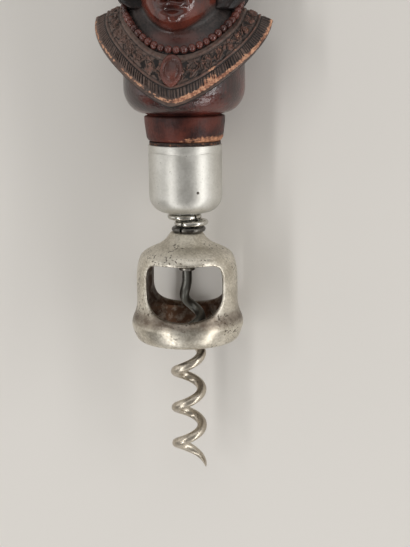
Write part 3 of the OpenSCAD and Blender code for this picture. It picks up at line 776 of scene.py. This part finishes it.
ends_z = HAIR_ENDS_Z + 0.7 * uneven + FRONT_LIFT * (1 - ease(1.35, 1.9, np.abs(a)))
z = ends_z + (CHIN_Z + HEAD_H - ends_z) * (1 - (1 - share) ** 1.25)
high = (z - CHIN_Z) / HEAD_H
wide = HAIR_HALF_W * curve(HAIR_WIDTH, high)
front = CHIN_OUT * curve(FACE_FRONT, high) + 1.1
locks = oval(a, wide, front, CAPE_BACK * curve(HAIR_WIDTH, high))
turn = np.degrees(np.abs(a))
start = curve(HAIRLINE, high) + 1.6 * np.sin(z * 0.9) * (high < 0.6)
cover = np.where(start < 1.5, 1, ease(start - 6, start + 4, turn))
up = z - CHIN_Z
sway = np.sign(a) * math.radians(6) * np.sin(np.radians(36 * up + 80 * uneven))
sway *= 1 - ease(0.72, 0.95, high)
strand = 0.42 * np.cos(LOCK_COUNT * (a + sway)) * (1 - ease(0.9, 0.99, high))
fine = 0.15 * np.cos(3.2 * LOCK_COUNT * (a + 1.1 * sway) + 1.3 * uneven)
fine += 0.07 * np.cos(7 * LOCK_COUNT * (a + 1.2 * sway))
strand += fine * ease(0.0, 0.05, share) * (1 - ease(0.93, 0.995, share))
parting = -0.8 * ridge(a * 9, 0.5) * ease(0.8, 0.86, high)
curl = 0.5 * np.sin(np.radians(54 * up + 90 * uneven)) * (1 - ease(0.25, 0.5, high))
end_round = 2.2 * (1 - np.sqrt(1 - (1 - np.minimum(1, share / 0.1)) ** 2))
radius = locks - 0.45 + strand + parting + curl - end_round
radius = np.where(cover < 1, radius * cover + (1 - cover) * np.minimum(radius, 9.5), radius)
grid = polar(a, np.maximum(0.02, np.minimum(radius, HAIR_HALF_W)), np.minimum(z, CHIN_Z + HEAD_H - 0.02))
bm = bmesh.new()
sheet_of(bm, grid, strand=strand)
capped(bm)
planed(bm)
hair_finish, place, feed = new_finish("hair_stain", specular=0.35)
depth = attribute(place, "strand")
cloud = place.noise(0.14, 4, 0.6)
fleck = place.noise(1.3, 3, 0.6)
black = (0.6 * cloud + 0.4 * fleck).band(0.4, 0.7).mixed((0.009, 0.007, 0.007), (0.03, 0.021, 0.019))
brown = (depth + 0.4 * (fleck - 0.5)).band(0.3, 0.7)
feed(Base_Color=brown.mixed(black, (0.075, 0.036, 0.028)), Roughness=0.42 + 0.3 * (cloud - 0.5),
     Normal=relief(fleck, 0.14, 0.6))
hair = piece(bm, "hair", hair_finish, 80)
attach(hair, "handle")
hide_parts("bust")

# Cross pin: a short steel pin driven through ferrule, tenon and shank, and filed off flush.
# Only its two ends show on the ferrule, dark steel painted darker still as the shade of a slight recess.
PIN_R, PIN_PROUD, PIN_EDGE = 0.4, 0.02, 0.08
PIN_UP, PIN_TURN = 6.4, math.radians(30)
bm = bmesh.new()
bmesh.ops.create_cone(bm, cap_ends=True, segments=28, radius1=PIN_R, radius2=PIN_R,
                      depth=2 * (FERRULE_R + PIN_PROUD))
ends = [e for e in bm.edges if abs(e.verts[0].co.z - e.verts[1].co.z) < 1e-6]
bmesh.ops.bevel(bm, geom=ends, offset=PIN_EDGE, segments=2, profile=0.5, affect="EDGES", material=-1)
bmesh.ops.transform(bm, verts=bm.verts, matrix=Matrix.Translation((0, 0, FERRULE_FLOOR + PIN_UP))
                    @ Matrix.Rotation(PIN_TURN, 4, "Z") @ Matrix.Rotation(math.pi / 2, 4, "X"))
# Part of the ends' darkness is painted, as the shade of a slight recess at each end.
pin_steel_and_recess_shade = aged_metal("pin_dark_steel_and_shade", bright=(0.13, 0.115, 0.1), dull=(0.06, 0.05, 0.042), roughness=0.5,
                       pit_share=0.05, pit_mm=0.4)
pin = piece(bm, "pin_ends", pin_steel_and_recess_shade)
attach(pin, "handle")
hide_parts("cross_pin")

# Stop collar: a small ring turned from steel, with rounded edges, and fixed on the shank
# just under the bell's hub, so that the bell can't drop off.
STOP_R, STOP_BORE, STOP_EDGE = 2.15, SHANK_R - 0.2, 0.25
STOP_TOP = BELL_TOP - HUB_H - STOP_PLAY
STOP_FOOT = STOP_TOP - STOP_H
bm = bmesh.new()
turned(bm, [(STOP_BORE, STOP_FOOT)] + arc(STOP_R - STOP_EDGE, STOP_FOOT + STOP_EDGE, STOP_EDGE, -90, 0, 4)
       + arc(STOP_R - STOP_EDGE, STOP_TOP - STOP_EDGE, STOP_EDGE, 0, 90, 4) + [(STOP_BORE, STOP_TOP)], 64)
collar_steel = aged_metal("collar_steel", bright=(0.42, 0.4, 0.36), dull=(0.25, 0.23, 0.2), roughness=0.4,
                          pit_share=0.03, pit_mm=0.4)
collar = piece(bm, "stop_ring", collar_steel)
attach(collar, "handle")
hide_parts("stop_collar")

# Thrust rings: three rings bent from plain steel wire, each left open at a small split.
# They lie loose on the shank between ferrule and bell and take the push of the bell.
# The lowest is painted near black, as the shade it sits in between the middle ring and the bell.
RING_WIRE, RING_TRACK, RING_SPLIT = 1.4, 3.8, 0.45
RING_STEPS, RING_SIDES = 96, 18
ring_plate = aged_metal("ring_wire_steel", bright=(0.68, 0.66, 0.61), dull=(0.42, 0.4, 0.35), roughness=0.22,
                        pit_share=0.05, pit_mm=0.45)
shaded_ring_plate = aged_metal("ring_wire_painted_shade", bright=(0.2, 0.19, 0.17), dull=(0.07, 0.065, 0.06), roughness=0.32,
                        pit_share=0.05, pit_mm=0.45)


def thrust_ring(node, body, tilt, split_at, plate):
    """One split ring, where its node lies."""
    low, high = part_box(node)
    offset = (low.x + high.x) * 500
    z = ((low.y + high.y) / 2 - ferrule_high.y) * 1000
    gap = math.asin(RING_SPLIT / RING_TRACK)
    lie = Matrix.Translation((offset, 0, z)) @ Matrix.Rotation(math.radians(tilt), 4, "Y")
    path = []
    for i in range(RING_STEPS + 1):
        turn = math.radians(split_at) + gap / 2 + (2 * math.pi - gap) * i / RING_STEPS
        path.append(lie @ Vector((RING_TRACK * math.cos(turn), RING_TRACK * math.sin(turn), 0)))
    bm = bmesh.new()
    wire(bm, path, [RING_WIRE / 2] * len(path), RING_SIDES)
    ring = piece(bm, node + "_wire", plate, 50)
    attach(ring, body)
    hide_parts(node)


thrust_ring("upper_thrust_ring", "upper_ring", 0, -38, ring_plate)
thrust_ring("middle_thrust_ring", "middle_ring", -2.4, -112, ring_plate)
# The lowest ring's plate is painted dark as shade.
thrust_ring("lower_thrust_ring", "lower_ring", 0, -106, shaded_ring_plate)

# Bell: cast in one piece and nickel-plated, with a bored neck, two legs, open windows front and back
# and a thick rim that rests on the bottle. Edges are soft from casting and polishing, and age has pitted
# the plate. Its inner side and its sills are painted a cloudy brown, as shade and as a brown reflection.
BELL_R, BELL_H, RIM_H = 14.9, 28.9, 7.2
MOUTH_R, LEG_R, LEG_WALL = 11.7, 13.4, 2.7
BELL_NECK_R = 4.4
SHOULDER_H = BELL_H - 7
UNDER_H = BELL_H - HUB_H
BELL_TURN = math.radians(6)
WINDOW_HALF_W, WINDOW_STEPS = 9.8, 72
WINDOW_TOP, WINDOW_MID = SHOULDER_H - 0.5, RIM_H + 7
SILL_R, SILL_HALF = (MOUTH_R + BELL_R) / 2 - 0.2, (BELL_R - MOUTH_R) / 2 + 0.15
CAST_GRAIN = 0.26
inside, bore = LEG_R - LEG_WALL, SHANK_R + 0.3
rim = [(MOUTH_R + 0.3, 0), (BELL_R - 2.2, 0), (BELL_R - 1.4, 0.6), (BELL_R - 0.9, 1.5), (BELL_R - 0.4, 2.8),
       (BELL_R, 4.4), (BELL_R - 0.05, 5.2), (BELL_R - 0.35, RIM_H - 0.9), (BELL_R - 0.8, RIM_H + 0.1)]
leg = [(LEG_R + 0.3, RIM_H + 1.4), (LEG_R + 0.05, RIM_H + 2.8), (LEG_R, RIM_H + 3.8), (LEG_R, SHOULDER_H - 5),
       (LEG_R - 0.1, SHOULDER_H - 3.2), (LEG_R - 0.3, SHOULDER_H - 1.8), (LEG_R - 0.65, SHOULDER_H - 0.4)]
shoulder = [(LEG_R - 1.15, SHOULDER_H + 0.9), (LEG_R - 2, SHOULDER_H + 1.8), (LEG_R - 3.2, SHOULDER_H + 2.5),
            (LEG_R - 4.5, SHOULDER_H + 3.1), (BELL_NECK_R + 2.9, SHOULDER_H + 3.8),
            (BELL_NECK_R + 1.8, SHOULDER_H + 4.6), (BELL_NECK_R + 0.9, SHOULDER_H + 5.4),
            (BELL_NECK_R + 0.35, SHOULDER_H + 6.2)]
hub = [(BELL_NECK_R, BELL_H - 0.3), (BELL_NECK_R - 0.3, BELL_H), (bore, BELL_H), (bore, UNDER_H),
       (BELL_NECK_R - 0.6, UNDER_H), (BELL_NECK_R + 0.1, UNDER_H + 0.3), (BELL_NECK_R + 0.4, UNDER_H + 0.9)]
inner_wall = [(BELL_NECK_R + 1.4, SHOULDER_H - 0.9), (inside - 1.6, SHOULDER_H - 0.8),
              (inside - 0.5, SHOULDER_H - 1.4), (inside, SHOULDER_H - 2.6), (inside, RIM_H + 2.6),
              (inside + 0.2, RIM_H + 1), (inside + 0.7, RIM_H - 0.2), (MOUTH_R, RIM_H - 1.2),
              (MOUTH_R, 0.3)]


def evaluated(bm, name, *modifiers):
    """The mesh of a bmesh after some modifiers, each a name and its settings."""
    mesh = bpy.data.meshes.new(name)
    bm.to_mesh(mesh)
    holder = bpy.data.objects.new(name, mesh)
    bpy.context.scene.collection.objects.link(holder)
    for kind, settings in modifiers:
        modifier = holder.modifiers.new(kind, kind)
        for key, value in settings.items():
            setattr(modifier, key, value)
    result = bpy.data.meshes.new_from_object(holder.evaluated_get(bpy.context.evaluated_depsgraph_get()))
    bpy.data.objects.remove(holder)
    return result


def window_ring(r, flare):
    """Outline of a window at one distance from the shank: square above, with a rolled and rounded sill."""
    t = np.arange(WINDOW_STEPS) / WINDOW_STEPS * 2 * math.pi
    n = np.where(np.sin(t) > 0, 5, 2.2)
    across = np.sign(np.cos(t)) * np.abs(np.cos(t)) ** (2 / n)
    up = np.sign(np.sin(t)) * np.abs(np.sin(t)) ** (2 / n)
    drop = 1.6 * min(1, abs(r - SILL_R) / SILL_HALF) ** 2.2
    reach = np.where(np.sin(t) > 0, WINDOW_TOP - WINDOW_MID + flare + 0.5 * across ** 2,
                     WINDOW_MID - RIM_H + drop)
    half_turn = math.asin(min(0.965, WINDOW_HALF_W / r)) + flare / r
    return polar(half_turn * across, r, WINDOW_MID + reach * up)


def window_plug(bm, turn):
    """A solid the shape of one window, wider at both skins of the bell."""
    rings = [window_ring(r, flare) for r, flare in (
        (inside - 0.4, 0.65), (inside + 0.3, 0.2), (inside + 1, 0), (LEG_R - 1, 0), (LEG_R - 0.6, 0.15),
        (LEG_R - 0.25, 0.5), (LEG_R + 0.1, 1.1), (LEG_R + 0.4, 1.35), (LEG_R + 0.8, 1.35),
        (LEG_R + 1.2, 1.35), (LEG_R + 1.8, 1.35))]
    inner, outer = rings[0].copy(), rings[-1].copy()
    inner[:, 0] *= 0.9
    inner[:, 1], outer[:, 1] = -2, -LEG_R - 4
    grid = np.stack([inner, *rings, outer], 1)
    sheet_of(bm, np.concatenate([grid, grid[:1]], 0))
    capped(bm)
    bmesh.ops.rotate(bm, verts=bm.verts, cent=(0, 0, 0), matrix=Matrix.Rotation(turn, 3, "Z"))
    bmesh.ops.recalc_face_normals(bm, faces=bm.faces)


cutters = []
for turn in (0, math.pi):
    bm = bmesh.new()
    window_plug(bm, turn)
    cutter = bpy.data.objects.new("window_cutter", bpy.data.meshes.new("window_cutter"))
    bm.to_mesh(cutter.data)
    bm.free()
    bpy.context.scene.collection.objects.link(cutter)
    cutters.append(cutter)
bm = bmesh.new()
turned(bm, rim + leg + shoulder + hub + inner_wall, 180)
bmesh.ops.recalc_face_normals(bm, faces=bm.faces)
cuts = [("BOOLEAN", {"operation": "DIFFERENCE", "solver": "EXACT", "object": cutter}) for cutter in cutters]
cast = evaluated(bm, "bell_cast", *cuts, ("REMESH", {"mode": "VOXEL", "voxel_size": CAST_GRAIN}),
                 ("SMOOTH", {"factor": 0.5, "iterations": 6}))
for cutter in cutters:
    bpy.data.objects.remove(cutter)
bm.free()
bm = bmesh.new()
bm.from_mesh(cast)
bm.normal_update()
# The inside layer marks where brown is painted in as shade and reflection: the inner side and, less, the
# sills.
inner_layer = bm.verts.layers.float.new("inside")
shoulder_layer = bm.verts.layers.float.new("shoulder")
for vert in bm.verts:
    outward = vert.co.xy.normalized()
    sill = ease(3, 5.5, vert.co.z) * (1 - ease(RIM_H + 0.5, RIM_H + 4, vert.co.z))
    sill *= 0.7 * ease(0, 0.4, vert.normal.z)
    above = ease(SHOULDER_H - 1, SHOULDER_H + 1.5, vert.co.z)
    vert[inner_layer] = float(max(sill, ease(0.1, 0.7, -vert.normal.xy.dot(outward))))
    vert[shoulder_layer] = float(ease(0.3, 0.8, vert.normal.z) * above)
seat = Matrix.Translation((0, 0, BELL_RIM)) @ Matrix.Rotation(BELL_TURN, 4, "Z")
bmesh.ops.transform(bm, verts=bm.verts, matrix=seat)


def bell_shade_and_reflection(place):
    """Cloudy brown painted shade and painted reflection on the bell's inner side and on its sills."""
    return attribute(place, "inside") * (0.4 + 1.1 * place.noise(0.5, 3, 0.6))


bell_plate = aged_metal("bell_nickel", bright=(0.76, 0.715, 0.62), dull=(0.46, 0.415, 0.335), roughness=0.35,
                        pit_share=0.13, pit_mm=0.75, grime=0.85, shaded=bell_shade_and_reflection,
                        shade=(0.075, 0.04, 0.024), oxide=lambda place: attribute(place, "shoulder"))
bell = piece(bm, "bell_casting", bell_plate, 80)
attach(bell, "bell")
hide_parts("bell")

# Floor, light and camera: a plain pale floor, two narrow lamps for the glints on lacquer and plate,
# wide soft ones to both sides, below and above, and the photograph's viewpoint, in front of the bust
# and a little towards its head.
FLOOR_HALF = 3
WORLD_TINT, WORLD_STRENGTH = (1, 0.97, 0.93, 1), 0.24
bm = bmesh.new()
bmesh.ops.create_grid(bm, x_segments=1, y_segments=1, size=FLOOR_HALF)
floor_mesh = bpy.data.meshes.new("floor")
bm.to_mesh(floor_mesh)
bm.free()
floor = bpy.data.objects.new("floor", floor_mesh)
bpy.context.scene.collection.objects.link(floor)
floor_finish, place, feed = new_finish("floor_paper", roughness=0.9)
feed(Base_Color=place.noise(0.004, 2, 0.5).mixed((0.75, 0.72, 0.675), (0.79, 0.76, 0.715)))
floor_mesh.materials.append(floor_finish)
floor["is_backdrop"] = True

world = bpy.data.worlds.new("studio")
bpy.context.scene.world = world
world.use_nodes = True
world.node_tree.nodes["Background"].inputs["Color"].default_value = WORLD_TINT
world.node_tree.nodes["Background"].inputs["Strength"].default_value = WORLD_STRENGTH

VIEW_POINT = Vector((0, -0.02246, 0.0149))
VIEW_DISTANCE, VIEW_SHIFT = 0.293, 0.00477
VIEW_ROUND, VIEW_UP = math.radians(11.3), math.radians(11.2)
ROLL = math.radians(0.7)
PIXEL_FOCUS, PICTURE_H, SENSOR_H = 1100, 547, 24
aim = Vector((math.cos(VIEW_UP) * math.sin(VIEW_ROUND), math.sin(VIEW_UP),
              math.cos(VIEW_UP) * math.cos(VIEW_ROUND)))
right = Vector((0, 1, 0)).cross(aim).normalized()


def lamp(name, sideways, upward, distance, wide, tall, power):
    """A lamp that faces the corkscrew, tall along the shank, placed by its angles from the camera's line."""
    direction = Matrix.Rotation(math.radians(sideways), 3, Vector((0, 1, 0))) @ aim
    direction = Matrix.Rotation(math.radians(-upward), 3, right) @ direction
    data = bpy.data.lights.new(name, "AREA")
    data.shape = "RECTANGLE"
    data.size, data.size_y = wide, tall
    data.energy = power
    made = bpy.data.objects.new(name, data)
    made.location = VIEW_POINT + direction * distance
    side = Vector((0, 1, 0)).cross(direction).normalized()
    made.rotation_euler = Matrix((side, direction.cross(side), direction)).transposed().to_euler()
    bpy.context.scene.collection.objects.link(made)


lamp("left_strip", sideways=-43, upward=-42, distance=0.75, wide=0.06, tall=1.4, power=2.75)
lamp("right_strip", sideways=50, upward=-42, distance=0.75, wide=0.08, tall=1.4, power=3.25)
lamp("left_wall", sideways=-86, upward=0, distance=0.8, wide=0.42, tall=0.8, power=1.0)
lamp("right_wall", sideways=66, upward=0, distance=0.8, wide=0.42, tall=0.8, power=0.8)
lamp("low_lamp", sideways=0, upward=-78, distance=0.8, wide=0.8, tall=0.4, power=0.5)
lamp("top_lamp", sideways=0, upward=52, distance=0.9, wide=0.9, tall=1.3, power=2.8)

camera_data = bpy.data.cameras.new("camera")
camera_data.sensor_fit = "VERTICAL"
camera_data.sensor_height = SENSOR_H
camera_data.lens = PIXEL_FOCUS / PICTURE_H * SENSOR_H
camera = bpy.data.objects.new("camera", camera_data)
bpy.context.scene.collection.objects.link(camera)
camera.location = VIEW_POINT + aim * VIEW_DISTANCE
target = VIEW_POINT + right * VIEW_SHIFT
back = (camera.location - target).normalized()
across = Vector((0, 1, 0)).cross(back).normalized()
facing = Matrix((across, back.cross(across), back)).transposed()
camera.rotation_euler = (facing @ Matrix.Rotation(-ROLL, 3, "Z")).to_euler()
camera_data.clip_start = 0.01
bpy.context.scene.camera = camera
bpy.context.scene.view_settings.view_transform = "Standard"

low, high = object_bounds()
